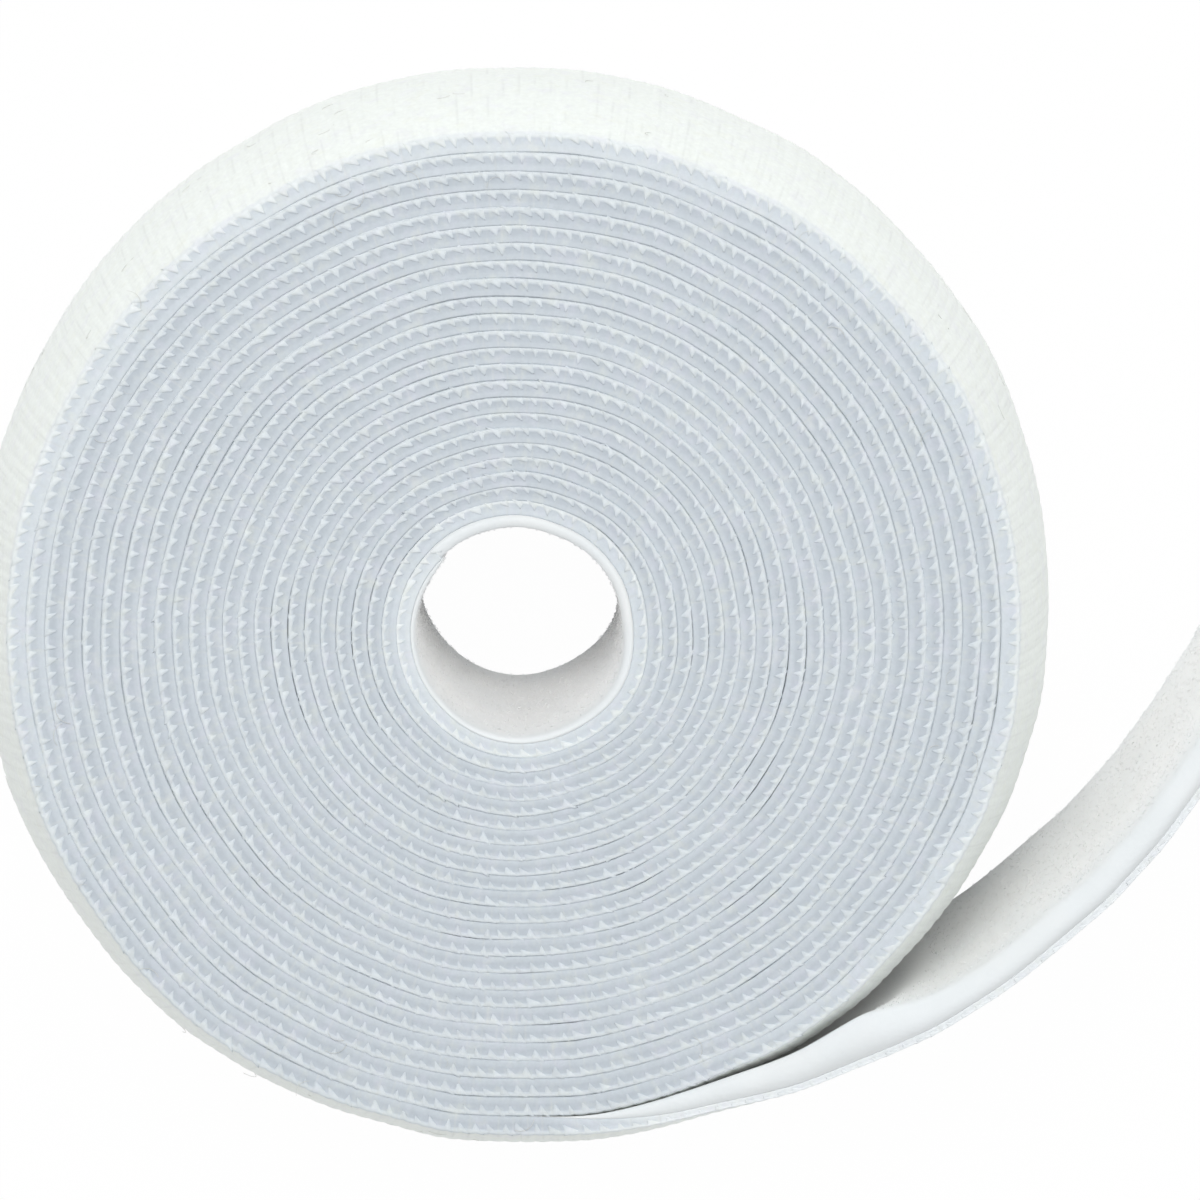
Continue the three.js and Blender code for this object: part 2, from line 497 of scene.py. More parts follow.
def tape_point(tree, size, place, depth, height):
    """The point at some depth below the tape's outer face and some height above the floor."""
    stray = waver(size, place["x"], place["y"])
    reach = standing_out(size, place, height) - depth + stray
    x = place["x"] + place["out x"] * reach
    y = place["y"] + place["out y"] * reach
    rise = noise(tree, UNEVEN_SCALE, 3.0, {"W": place["run"]}, noise_dimensions="1D")
    rise = height / size["width"] * size["uneven"] * (rise - UNEVEN_MIDDLE)
    return vector(tree, x, y, height + rise)


def rail(tree, size):
    """A line of points whose attribute along runs from start to end."""
    count = size["steps"] + 1
    line = get(tree, "GeometryNodeMeshLine", {"Count": count, "Offset": (0, 0, MM)})
    index = get(tree, "GeometryNodeInputIndex")
    along = size["start"] + (size["end"] - size["start"]) * index / size["steps"]
    return stored(tree, line, "along", along)


def strip_tree(name, station, depth_of):
    """Sweeps the object's own outline, depth share by height, along the tape."""
    tree, size = geometry_tree(name)
    where = node(tree, "ShaderNodeSeparateXYZ", {"Vector": get(tree, "GeometryNodeInputPosition")})
    outline = stored(tree, size["Geometry"], "depth", Wire(tree, where.outputs["X"]))
    outline = stored(tree, outline, "height", Wire(tree, where.outputs["Y"]))
    outline = get(tree, "GeometryNodeMeshToCurve", {"Mesh": outline})
    line = get(tree, "GeometryNodeMeshToCurve", {"Mesh": rail(tree, size)})
    inputs = {"Curve": line, "Profile Curve": outline, "Fill Caps": True}
    body = get(tree, "GeometryNodeCurveToMesh", inputs)
    body = get(tree, "GeometryNodeFlipFaces", {"Mesh": body})
    height = attribute(tree, "height")
    place = station(size, attribute(tree, "along"))
    depth = depth_of(size, place, attribute(tree, "depth"))
    inputs = {"Geometry": body, "Position": tape_point(tree, size, place, depth, height)}
    body = get(tree, "GeometryNodeSetPosition", inputs)
    body = stored(tree, body, "pale", place["pale"])
    surface = vector(tree, place["run"], height)
    body = stored(tree, body, "tape", surface, data_type="FLOAT2", domain="CORNER")
    return tree, size, body


# Depth share that still has ribs, and how round their tops are
FACE_SHARE = 0.02
RIB_POWER = 0.5


def web_depth(size, place, share):
    """Depth of a web outline's point. Its outer face is ribbed, one rib to a pick."""
    outer = (1 - share / FACE_SHARE).through("MAXIMUM", 0.0)
    phase = place["run"] / size["pick"] * math.pi
    ridge = sine(phase).through("ABSOLUTE").through("POWER", RIB_POWER)
    return share * place["thickness"] + size["rib"] * (1 - ridge) * outer


def lining_depth(size, place, share):
    """Depth of a lining outline's point, between the web and the open face. The lining gets
    thicker on its way round, and is blunted at its start."""
    along = attribute(share.tree, "along")
    spring = eased(along - size["lining_turns"], size["end"] - size["lining_turns"])
    deep = size["lining"] + (size["lining_end"] - size["lining"]) * spring
    lost = size["blunt"] * (1 - eased(along - size["start"], size["blunt_turns"]))
    return place["thickness"] + size["clearance"] + share * deep * (1 - lost)


def room(size, place, height):
    """Space between the free end's outer face and the roll's, at some height."""
    reach = standing_out(size, place, height) + waver(size, place["x"], place["y"])
    x = place["x"] + place["out x"] * reach - AXIS[0]
    y = place["y"] + place["out y"] * reach - AXIS[1]
    swept = y.through("ARCTAN2", x) + TURN / 4
    radius, crown = spiral(size, size["turns"] - 1 + swept / TURN)
    away = (x * x + y * y).through("SQRT")
    near_x = AXIS[0] + x * radius / away
    near_y = AXIS[1] + y * radius / away
    return away - radius - bulge(size, crown, height) - waver(size, near_x, near_y)


def pile_rooms(size, place, height):
    """How deep the free end's pile may reach below the outer face, and how deep it wants to."""
    past = (place["run"] - size["opening_start"]).through("MAXIMUM", 0.0)
    opened = (past / size["opening_length"]).through("POWER", size["opening_power"])
    kept = size["gap"] + size["opening"] * opened
    wanted = place["thickness"] + size["pile"] + size["swell"] * fullness(size, place)
    return room(size, place, height) - kept, wanted


def fullness(size, place):
    """1 where the free end's pile is swollen, 0 where it has its own height."""
    return 1 - eased(place["run"] - size["swell_length"], size["settle_length"])


def free_loops(size, place):
    """1 where the free end's pile has its own height, and so stands clear of the roll."""
    free, wanted = pile_rooms(size, place, attribute(place["run"].tree, "height"))
    return (free - wanted).through("GREATER_THAN", size["loop_spare"])


def lining_loops(size, place):
    """1 all over the bore's lining."""
    return 1.0


def pile_depth(size, place, share):
    """Depth of a pile outline's point, between the web and the top of the pile. Near the root
    the pile reaches across to the roll, with square shoulders, and further on it has its own
    height."""
    share = share * (1 + size["square"] * fullness(size, place) * (1 - share))
    under = place["thickness"] + size["clearance"]
    free, wanted = pile_rooms(size, place, attribute(share.tree, "height"))
    deep = free.through("SMOOTH_MIN", wanted, size["merging"]) - under
    return under + share * deep.through("MAXIMUM", size["pressed"])


def thread(tree, size, arc):
    """A fine filament along an arc."""
    inputs = {"Resolution": 3, "Radius": size["filament"]}
    circle = get(tree, "GeometryNodeCurvePrimitiveCircle", inputs)
    arc = get(tree, "GeometryNodeCurveArc", arc)
    inputs = {"Curve": arc, "Profile Curve": circle, "Fill Caps": True}
    return get(tree, "GeometryNodeCurveToMesh", inputs)


def rotation(tree, x, y, z):
    return get(tree, "FunctionNodeEulerToRotation", {"Euler": vector(tree, x, y, z)})


def turned(tree, way, *angles):
    """A rotation, and then another one about its own axes."""
    inputs = {"Rotation": way, "Rotate By": rotation(tree, *angles)}
    return get(tree, "FunctionNodeRotateRotation", inputs, rotation_space="LOCAL")


def copies(tree, points, shape, way, scale):
    inputs = {"Points": points, "Instance": shape, "Rotation": way, "Scale": scale}
    return get(tree, "GeometryNodeInstanceOnPoints", inputs)


# Depth share from which the pile carries loops, and how these differ
TOP_SHARE = 0.97
LOOP_TURNED = (-0.5, 0.5)
LOOP_WIDTHS = (0.7, 1.4)
LOOP_HEIGHTS = (0.5, 1.2)


def loops_on(tree, size, body, where):
    """Loops of fine filament that stand all over the pile's open face, or on a part of it."""
    open_face = attribute(tree, "depth").through("GREATER_THAN", TOP_SHARE)
    inputs = {
        "Mesh": body,
        "Selection": open_face * where,
        "Density": size["density"] / MM**2,
        "Seed": size["seed"],
    }
    points = node(tree, "GeometryNodeDistributePointsOnFaces", inputs)
    inputs = {
        "Resolution": 6,
        "Radius": size["loop"],
        "Start Angle": math.radians(-15),
        "Sweep Angle": math.radians(210),
    }
    upright = (math.radians(90), 0, 0)
    inputs = {"Geometry": thread(tree, size, inputs), "Rotation": upright}
    loop = get(tree, "GeometryNodeTransform", inputs)
    angles = [chance(tree, *LOOP_TURNED, 1), chance(tree, *LOOP_TURNED, 2), chance(tree, 0, TURN, 3)]
    way = turned(tree, Wire(tree, points.outputs["Rotation"]), *angles)
    scale = vector(tree, chance(tree, *LOOP_WIDTHS, 4), 1.0, chance(tree, *LOOP_HEIGHTS, 5))
    return copies(tree, Wire(tree, points.outputs["Points"]), loop, way, scale)


def joined(tree, *parts):
    made = node(tree, "GeometryNodeJoinGeometry")
    for part in reversed(parts):
        tree.links.new(part.socket, made.inputs[0])
    return first(made)


def web_tree(name, station):
    tree, size, body = strip_tree(name, station, web_depth)
    return closed_tree(tree, size, body)


def pile_tree(name, station, depth_of, loops_where):
    tree, size, body = strip_tree(name, station, depth_of)
    where = loops_where(size, station(size, attribute(tree, "along")))
    return closed_tree(tree, size, joined(tree, body, loops_on(tree, size, body, where)))


# How weft returns differ: in radians, then as shares of their shape's sizes
RETURN_HEADINGS = (-0.35, 0.3)
RETURN_LEANS = (-0.05, 0.05)
RETURN_LENGTHS = (0.6, 1.2)
RETURN_DEPTHS = (0.7, 1.02)
RETURN_HEIGHTS = (0.5, 1.0)


def return_tree(name, station):
    """Copies the object's own mesh, one weft return, along both selvedges."""
    tree, size = geometry_tree(name)
    along = attribute(tree, "along")
    place = station(size, along)
    inputs = {"Geometry": rail(tree, size), "Position": vector(tree, place["x"], place["y"])}
    line = get(tree, "GeometryNodeSetPosition", inputs)
    line = get(tree, "GeometryNodeMeshToCurve", {"Mesh": line})
    points = get(tree, "GeometryNodeCurveToPoints", {"Curve": line, "Count": size["copies"]})
    edges = []
    for seed, flip, upper in ((11, 0.0, 1.0), (23, math.pi, 0.0)):
        place = station(size, along)
        height = size["rise"] + (size["width"] - 2 * size["rise"]) * upper
        spot = tape_point(tree, size, place, 0.0, height)
        moved = get(tree, "GeometryNodeSetPosition", {"Geometry": points, "Position": spot})
        moved = stored(tree, moved, "pale", place["pale"])
        heading = place["heading"] + chance(tree, *RETURN_HEADINGS, seed) * place["tooth"]
        way = rotation(tree, chance(tree, *RETURN_LEANS, seed + 1), flip, heading)
        scale = vector(
            tree,
            chance(tree, *RETURN_LENGTHS, seed + 2),
            place["thickness"] * chance(tree, *RETURN_DEPTHS, seed + 3),
            place["tooth"] * chance(tree, *RETURN_HEIGHTS, seed + 4),
        )
        edge = copies(tree, moved, size["Geometry"], way, scale)
        luck = chance(tree, -1.0, 1.0, seed + 5)
        edge = stored(tree, edge, "luck", luck, domain="INSTANCE")
        edges.append(stored(tree, edge, "pale", attribute(tree, "pale"), domain="INSTANCE"))
    return closed_tree(tree, size, joined(tree, *edges))


# Where hairs lie, as shares of the tape's width, of a rib and of a turn, and how large they are
HAIR_DROPS = (0.06, 0.5)
HAIR_SCALES = (0.35, 1.2)
HAIR_LIFT = 0.3
HAIR_DEPTH = 0.35


def hair_tree(name, station):
    """Short curved fibres that lie on the outer face, or across the upper edges of the turns."""
    tree, size = geometry_tree(name)
    points = get(tree, "GeometryNodeMeshLine", {"Count": size["copies"]})
    points = get(tree, "GeometryNodeMeshToPoints", {"Mesh": points})
    seed = size["seed"]
    along = size["start"] + (size["end"] - size["start"]) * chance(tree, 0.0, 1.0, seed + 1)
    points = stored(tree, points, "along", along)
    place = station(size, attribute(tree, "along"))
    low = size["width"] * (1 - size["face"] * chance(tree, *HAIR_DROPS, seed + 2))
    height = low + size["rib"] * (1 - size["face"]) * HAIR_LIFT
    depth = (1 - size["face"]) * size["loose"] * HAIR_DEPTH
    inputs = {"Geometry": points, "Position": tape_point(tree, size, place, depth, height)}
    points = get(tree, "GeometryNodeSetPosition", inputs)
    arc = {"Resolution": 9, "Radius": size["radius"], "Sweep Angle": size["sweep"]}
    inputs = {
        "Geometry": thread(tree, size, arc),
        "Translation": vector(tree, size["offset"]),
    }
    hair = get(tree, "GeometryNodeTransform", inputs)
    tilt = rotation(tree, TURN / 4 * size["face"], 0.0, place["heading"])
    way = turned(tree, tilt, 0.0, 0.0, chance(tree, 0, TURN, seed + 3))
    across = chance(tree, *HAIR_SCALES, seed + 4)
    scale = vector(tree, across, across, 1.0)
    return closed_tree(tree, size, copies(tree, points, hair, way, scale))


# Outlines and small shapes that the trees repeat


def marked(mesh, marks):
    """mesh with a number for each point: how much of the selvedge's cooler colour it shows, partly
    its own tone and partly painted shade.
    """
    layer = mesh.attributes.new("mark", "FLOAT", "POINT")
    layer.data.foreach_set("value", marks)
    return mesh


def edge_loop(name, points):
    """A closed outline. Its points are depth share and height, and maybe a tint with painted shade.
    """
    mesh = bpy.data.meshes.new(name)
    count = len(points)
    edges = [(i, (i + 1) % count) for i in range(count)]
    mesh.from_pydata([(*point[:2], 0) for point in points], edges, [])
    return marked(mesh, [point[2] if len(point) > 2 else 0.0 for point in points])


def rows_between(depth, start, end, rows):
    """Points of an outline at one depth, from one height to another without those two."""
    return [(depth, start + (end - start) * (row + 1) / (rows + 1)) for row in range(rows)]


def web_outline(tape, rows):
    """Closed outline of the tape's section. Each selvedge has a ridge along its outer side and a
    shallow dip behind it, in which the weft returns lie. The tint of its points paints shade into the
    colour: darkest in the dip and at the inner corner beside the gap between turns, lighter on the
    ridge."""
    top = tape.width - tape.rise
    # depth share, millimetres above the rise, mark: cooler tone with painted shade, most in the dip
    # and at the gap
    rim = [
        (0.00, -1.20, 0.00),
        (0.00, -0.40, 0.10),
        (0.00, -0.05, 0.40),
        (0.04, -0.01, 0.35),
        (0.12, 0.01, 0.35),
        (0.20, -0.01, 0.60),
        (0.28, -0.05, 0.95),
        (0.52, -0.06, 1.00),
        (0.68, -0.03, 0.80),
        (0.90, -0.03, 0.72),
        (1.00, -0.055, 0.90),
        (1.00, -0.60, 0.50),
    ]
    upper = [(depth, top + drop * MM, mark) for depth, drop, mark in rim]
    lower = [(depth, tape.width - height, mark) for depth, height, mark in upper]
    outer = rows_between(0.0, 0.0, tape.width, rows)
    inner = rows_between(1.0, tape.width, 0.0, rows)
    return outer + upper + inner + lower[::-1]


def pile_outline(tape, rows):
    """Closed outline of the pile: soft shoulders beside the bare edges and a full face."""
    low, high = tape.bare_foot, tape.width - tape.bare
    # depth share, millimetres from the bare edge, mark: a cooler, greyer edge, partly painted shade
    soft = [
        (0.00, 0.00, 1.0),
        (0.45, 0.03, 1.0),
        (0.80, 0.18, 1.0),
        (0.95, 0.45, 0.9),
        (1.00, 1.00, 0.6),
        (1.00, 3.50, 0.2),
    ]
    upper = [(depth, high - inset * MM, mark) for depth, inset, mark in soft]
    lower = [(depth, low + inset * MM, mark) for depth, inset, mark in soft]
    face = rows_between(1.0, upper[-1][1], lower[-1][1], rows)
    back = rows_between(0.0, low, high, rows)
    return upper + face + lower[::-1] + back


def weft_return():
    """One weft return: a thread that comes over the edge at the outer face, slants back and
    thins out towards the inner face. Lengthwise X, depth share Y, up Z."""
    # depth share, half length and crest in millimetres, mark: painted shade, most at the tip where
    # the return sinks into the dip
    sections = [
        (0.02, 0.58, -0.05, 0.42),
        (0.12, 0.54, 0.02, 0.36),
        (0.24, 0.40, 0.05, 0.34),
        (0.38, 0.27, 0.05, 0.40),
        (0.54, 0.15, 0.01, 0.55),
        (0.68, 0.06, -0.06, 0.80),
    ]
    slant, sunk = -0.65, -0.2
    verts, faces, marks = [], [], []
    for depth, half, crest, mark in sections:
        middle = 0.12 + slant * depth
        ring = [
            (-half, sunk),
            (-0.72 * half, 0.66 * crest),
            (0.0, crest),
            (0.72 * half, 0.66 * crest),
            (half, sunk),
        ]
        verts += [((middle + x) * MM, depth, z * MM) for x, z in ring]
        marks += [mark] * len(ring)
    sides = 5
    for row in range(len(sections) - 1):
        for side in range(sides):
            a, b = row * sides + side, row * sides + (side + 1) % sides
            faces.append((a, b, b + sides, a + sides))
    faces.append(tuple(range(sides - 1, -1, -1)))
    last = (len(sections) - 1) * sides
    faces.append(tuple(range(last, last + sides)))
    mesh = bpy.data.meshes.new("weft_return")
    mesh.from_pydata(verts, [], faces)
    return marked(mesh, marks)


# Finishes


def principled(name):
    material = bpy.data.materials.new(name)
    material.use_nodes = True
    tree = material.node_tree
    return material, tree, tree.nodes["Principled BSDF"]


def layered(tree, plain, *layers):
    """A colour turned towards that of each layer in turn, by the layer's share."""
    tint = coloured(plain)
    for share, other in layers:
        inputs = {"Factor": share, "A": tint, "B": coloured(other)}
        tint = get(tree, "ShaderNodeMix", inputs, data_type="RGBA")
    return tint


def patches(tree, spot, scale, low, high, seed=0.0):
    """0 to 1, in slow soft patches."""
    inputs = {"Vector": spot, "W": seed, "Roughness": 0.6}
    cloud = noise(tree, scale, 3.0, inputs, noise_dimensions="4D")
    inputs = {"Value": cloud, "From Min": low, "From Max": high}
    return get(tree, "ShaderNodeMapRange", inputs)


def coloured(values):
    return (*values, 1.0)


def rib_lines(tree, pick):
    """Painted shade: short dark dashes in the valleys between the cross ribs of the web's outer face.
    """
    surface = node(tree, "ShaderNodeSeparateXYZ", {"Vector": attribute_of(tree, "tape", 1)})
    along, up = (Wire(tree, surface.outputs[name]) for name in ("X", "Y"))
    picks = along / pick
    off = (picks.through("FRACT") - 0.5).through("ABSOLUTE") * 2
    valley = 1 - eased(off, 0.3)
    place = vector(tree, picks.through("FLOOR") * 7.3, up * 260.0)
    dash = noise(tree, 1.0, 1.0, {"Vector": place})
    return valley * eased(dash - 0.42, 0.22)


def attribute_of(tree, name, output):
    made = node(tree, "ShaderNodeAttribute", attribute_name=name)
    return Wire(tree, made.outputs[output])


def woolly(tree, surface, tint, relief, roughness, sheen):
    """Gives a surface its colour, its fine relief, and the shine of cloth."""
    feed(tree, surface.inputs["Base Color"], tint)
    feed(tree, surface.inputs["Normal"], get(tree, "ShaderNodeBump", relief))
    surface.inputs["Roughness"].default_value = roughness
    surface.inputs["Sheen Weight"].default_value = sheen


def web_material():
    """Woven nylon: cooler where the weft turns back along the selvedges, partly painted shade, with
    painted shade in the hollows, the gaps between turns and the rib valleys, a painted glow in the
    last turns, and slight sheen.
    """
    colours, tape = bpy.context.scene.tape_colours, bpy.context.scene.tape_sizes
    material, tree, surface = principled("ground_web_weave")
    spot = Wire(tree, node(tree, "ShaderNodeTexCoord").outputs["Object"])
    mark, pale = attribute_of(tree, "mark", 2), attribute_of(tree, "pale", 2)
    cool = mark * (1 - pale)
    ribs = rib_lines(tree, tape.pick)
    tint = layered(
        tree,
        colours.web,
        # Paler selvedge: in the last turns a painted glow, at the back and sides
        (pale * eased(mark, 0.3), colours.pale),
        # Cooler selvedge tone, partly painted shade of the face
        (eased(cool, 0.5), colours.edge),
        # Painted shade in the hollows between the weft returns and at the gaps between turns
        (eased(cool - 0.5, 0.5), colours.hollow),
        # Painted shade in the rib valleys
        (ribs * 0.26, colours.dash),
        (patches(tree, spot, scale=700.0, low=0.5, high=0.7, seed=3.0) * 0.2, colours.violet),
        (patches(tree, spot, scale=800.0, low=0.52, high=0.7, seed=8.0) * 0.22, colours.olive),
    )
    shade = patches(tree, spot, scale=2600.0, low=0.3, high=0.7) * 0.08 + 0.96
    shade = shade + attribute_of(tree, "luck", 2) * 0.05
    made = node(tree, "ShaderNodeVectorMath", operation="MULTIPLY")
    for socket, value in zip(made.inputs, (tint, vector(tree, shade, shade, shade))):
        feed(tree, socket, value)
    grain = noise(tree, 5200.0, 2.0, {"Vector": spot})
    relief = {"Height": grain - ribs * 0.8, "Strength": 0.3, "Distance": 0.05 * MM}
    woolly(tree, surface, Wire(tree, made.outputs[0]), relief, roughness=0.8, sheen=0.1)
    return material


def pile_material():
    """Soft looped pile: milky, matt, faintly mottled, with cooler, greyer edges that are partly
    painted shade.
    """
    colours = bpy.context.scene.tape_colours
    material, tree, surface = principled("loop_pile_nap")
    spot = Wire(tree, node(tree, "ShaderNodeTexCoord").outputs["Object"])
    shoulder = attribute_of(tree, "mark", 2)
    tint = layered(
        tree,
        colours.pile,
        # Pile edge: partly thinner pile, partly painted shade
        (shoulder, colours.shoulder),
        (patches(tree, spot, scale=160.0, low=0.4, high=0.7, seed=2.0) * 0.35, colours.cool),
        (patches(tree, spot, scale=120.0, low=0.45, high=0.7, seed=5.0) * 0.3, colours.warm),
    )
    grain = noise(tree, 2600.0, 3.0, {"Vector": spot})
    relief = {"Height": grain, "Strength": 0.35, "Distance": 0.08 * MM}
    woolly(tree, surface, tint, relief, roughness=0.9, sheen=0.6)
    return material


def fibre_material():
    """Loose fibre, a little darker than the tape that it lies on."""
    colours = bpy.context.scene.tape_colours
    material, tree, surface = principled("stray_fibre")
    spot = Wire(tree, node(tree, "ShaderNodeTexCoord").outputs["Object"])
    share = patches(tree, spot, scale=300.0, low=0.3, high=0.7)
    tint = layered(tree, colours.hair_dark, (share, colours.hair_pale))
    feed(tree, surface.inputs["Base Color"], tint)
    surface.inputs["Roughness"].default_value = 0.7
    return material


def finish(name):
    """The material of that name, made on first use."""
    made = {
        "ground_web_weave": web_material,
        "loop_pile_nap": pile_material,
        "stray_fibre": fibre_material,
    }
    return bpy.data.materials.get(name) or made[name]()


# Operators


def look_from(settings):
    """Camera matrix: above the roll's upper face, leaning towards the back, aimed beside the axis."""
    up_lean = Matrix.Rotation(-settings.tilt, 3, "X")
    roll = Matrix.Rotation(settings.roll, 3, "Z")
    aim = Matrix.Rotation(settings.aim_right, 3, "Y") @ Matrix.Rotation(settings.aim_up, 3, "X")
    face = Vector((AXIS[0], AXIS[1], bpy.context.scene.tape_sizes.width))
    place = face + up_lean @ Vector((0, 0, settings.distance))
    return Matrix.Translation(place) @ (up_lean @ roll @ aim).to_4x4()


class TAPE_OT_camera(bpy.types.Operator):
    """Adds the camera, almost straight above the roll"""

    bl_idname = "tape.camera"
    bl_label = "Camera"

    def execute(self, context):
        settings = context.scene.tape_stage
        data = bpy.data.cameras.new("camera")
        data.sensor_width = 36
        data.lens = settings.lens / MM
        data.clip_start = 10 * MM
        camera = bpy.data.objects.new("camera", data)
        context.collection.objects.link(camera)
        camera.matrix_world = look_from(settings)
        context.scene.camera = camera
        return {"FINISHED"}


class TAPE_OT_winding(bpy.types.Operator):
    """Adds the wound tape with its outermost, ribbed turn"""

    bl_idname = "tape.winding"
    bl_label = "Winding"

    def execute(self, context):
        tape, winding = context.scene.tape_sizes, context.scene.winding_sizes
        web = finish("ground_web_weave")
        tree = web_tree("Wound tape", winding_station)
        inner = winding.turns - 1
        sizes = tree_sizes(0.0, inner, round(inner * STEPS_PER_TURN)) | {"rib": 0.0}
        outline = edge_loop("wound_outline", web_outline(tape, WOUND_ROWS))
        wound = grown("wound_tape", outline, tree, web, sizes)
        sizes = tree_sizes(inner, winding.turns, OUTER_TURN_STEPS)
        outline = edge_loop("outer_outline", web_outline(tape, OPEN_ROWS))
        outer = grown("outer_turn", outline, tree, web, sizes)
        for piece in (wound, outer):
            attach(piece, "roll")
            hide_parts("wound_web")
        flat = (tape.width, wound_length(sizes, inner))
        return {"FINISHED"}


class TAPE_OT_returns(bpy.types.Operator):
    """Adds the weft returns along both selvedges of the winding"""

    bl_idname = "tape.returns"
    bl_label = "Weft returns"

    def execute(self, context):
        tape, winding = context.scene.tape_sizes, context.scene.winding_sizes
        tree = return_tree("Weft returns", winding_station)
        web = finish("ground_web_weave")
        reaches = (0.0, winding.turns * winding.first_returns, winding.turns)
        for index, (start, end) in enumerate(zip(reaches, reaches[1:]), 1):
            sizes = tree_sizes(start, end, round((end - start) * STEPS_PER_TURN))
            run = wound_length(sizes, end) - wound_length(sizes, start)
            sizes["copies"] = round(run / tape.pick)
            piece = grown(f"weft_returns_{index}", weft_return(), tree, web, sizes)
            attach(piece, "roll")
        return {"FINISHED"}


class TAPE_OT_hairs(bpy.types.Operator):
    """Adds the short stray fibres that lie on the last turns"""

    bl_idname = "tape.hairs"
    bl_label = "Stray fibres"

    def execute(self, context):
        winding, hair = context.scene.winding_sizes, context.scene.hair_sizes
        tree = hair_tree("Stray fibres", winding_station)
        hairs = (
            ("outer_hairs", hair.outer, 1.0, hair.outer_turns),
            ("edge_hairs", hair.edge, 0.0, hair.edge_turns),
        )
        for name, count, face, turns in hairs:
            sizes = tree_sizes(winding.turns - turns, winding.turns, copies=count, face=face)
            empty = bpy.data.meshes.new(name)
            piece = grown(name, empty, tree, finish("stray_fibre"), sizes)
            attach(piece, "roll")
        return {"FINISHED"}


class TAPE_OT_bore(bpy.types.Operator):
    """Adds the looped pile that lines the bore"""

    bl_idname = "tape.bore"
    bl_label = "Bore lining"

    def execute(self, context):
        tree = pile_tree("Bore lining", winding_station, lining_depth, lining_loops)
        outline = edge_loop("bore_outline", pile_outline(context.scene.tape_sizes, OPEN_ROWS))
        sizes = tree_sizes(0.0, 1.0, LINING_STEPS)
        piece = grown("bore_lining", outline, tree, finish("loop_pile_nap"), sizes)
        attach(piece, "roll")
        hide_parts("bore_pile")
        return {"FINISHED"}


def flex_runs(free, web, bodies):
    """How far from the roll the frame's flex lines lie."""
    step = (free.length - web) / bodies
    return [web + free.slit / 2 + step * index for index in range(bodies)]


def bend(free, runs, index):
    """The points between which a stretch would bend about its flex line: for the first stretch a
    crease's length beside the roll, for each of the others its whole length, so that no crack would
    open between them, but starting late in the second one, so that its pile would not press into the
    roll."""
    flex = FLEX_LINES[index]
    if index == 0:
        out = flex - Vector(AXIS)
        along = Vector((-out.y, out.x, 0)).normalized()
        start = flex - along * runs[0]
        return start, start + along * free.crease
    before = FLEX_LINES[index - 1]
    after = (FLEX_LINES[index + 1 :] or [flex * 2 - before])[0]
    half = (runs[index] - runs[index - 1]) / 2
    along = (after - before).normalized() * half
    share = free.late if index == 1 else 1.0
    return flex - along * share, flex + along


class TAPE_OT_free_end(bpy.types.Operator):
    """Adds the free end, in stretches, one about each of its flex lines"""

    bl_idname = "tape.free_end"
    bl_label = "Free end"

    def execute(self, context):
        tape, free = context.scene.tape_sizes, context.scene.free_end_sizes
        winding = context.scene.winding_sizes
        web_rule = web_tree("Free web", free_station)
        pile_rule = pile_tree("Free pile", free_station, pile_depth, free_loops)
        return_rule = return_tree("Free returns", free_station)
        rules = {
            "free_web": (web_rule, "ground_web", "ground_web_weave"),
            "free_pile": (pile_rule, "loop_pile", "loop_pile_nap"),
            "free_returns": (return_rule, "ground_web", "ground_web_weave"),
        }
        bodies = ["roll"] + [joint["child"] for joint in FRAME["joints"]]
        runs = flex_runs(free, tape.web, len(bodies) - 1)
        middles = [(before + after) / 2 for before, after in zip(runs, runs[1:])]
        ends = [0.0, *middles, free.length]
        for index, (start, end) in enumerate(zip(ends, ends[1:])):
            picks = (end - start) / tape.pick
            sizes = tree_sizes(start, end, round(picks * STEPS_PER_PICK), round(picks))
            sizes["seed"] += index
            shapes = {
                "free_web": edge_loop("free_outline", web_outline(tape, OPEN_ROWS)),
                "free_pile": edge_loop("free_pile_outline", pile_outline(tape, OPEN_ROWS)),
                "free_returns": weft_return(),
            }
            near, far = bend(free, runs, index)
            for label, (rule, slot, look) in rules.items():
                name = f"{label}_{index + 1}"
                piece = grown(name, shapes[label], rule, finish(look), sizes)
                bodies[index + 1]
                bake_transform(piece)
            for number in sorted({max(index, 1), index + 1}):
                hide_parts(f"tail_web_{number}")
                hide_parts(f"tail_pile_{number}")
            if index:
                flat = (tape.width, end - start)
            else:
                last = wound_length(sizes, winding.turns) - wound_length(sizes, winding.turns - 1)
                flat = (tape.width, last)
        return {"FINISHED"}


# Name, place and side in metres, and power in watts
LAMPS = (
    ("top_lamp", (0.0, 0.36, 0.66), 0.4, 3.05),
    ("left_lamp", (-0.6, 0.2, 0.3), 0.5, 0.65),
    ("right_lamp", (0.6, 0.2, 0.3), 0.5, 0.6),
    ("front_lamp", (0.1, -0.6, 0.3), 0.5, 0.8),
)


class TAPE_OT_stage(bpy.types.Operator):
    """Adds the floor, the soft lamps and the world"""

    bl_idname = "tape.stage"
    bl_label = "Stage"

    def execute(self, context):
        settings = context.scene.tape_stage
        half = settings.floor / 2
        mesh = bpy.data.meshes.new("floor")
        corners = [(-half, -half, 0), (half, -half, 0), (half, half, 0), (-half, half, 0)]
        mesh.from_pydata(corners, [], [(0, 1, 2, 3)])
        floor = bpy.data.objects.new("floor", mesh)
        context.collection.objects.link(floor)
        mesh.materials.append(floor_material())
        for name, place, side, power in LAMPS:
            lamp(name, place, side, power)
        world_light()
        context.scene.view_settings.view_transform = "Standard"
        return {"FINISHED"}


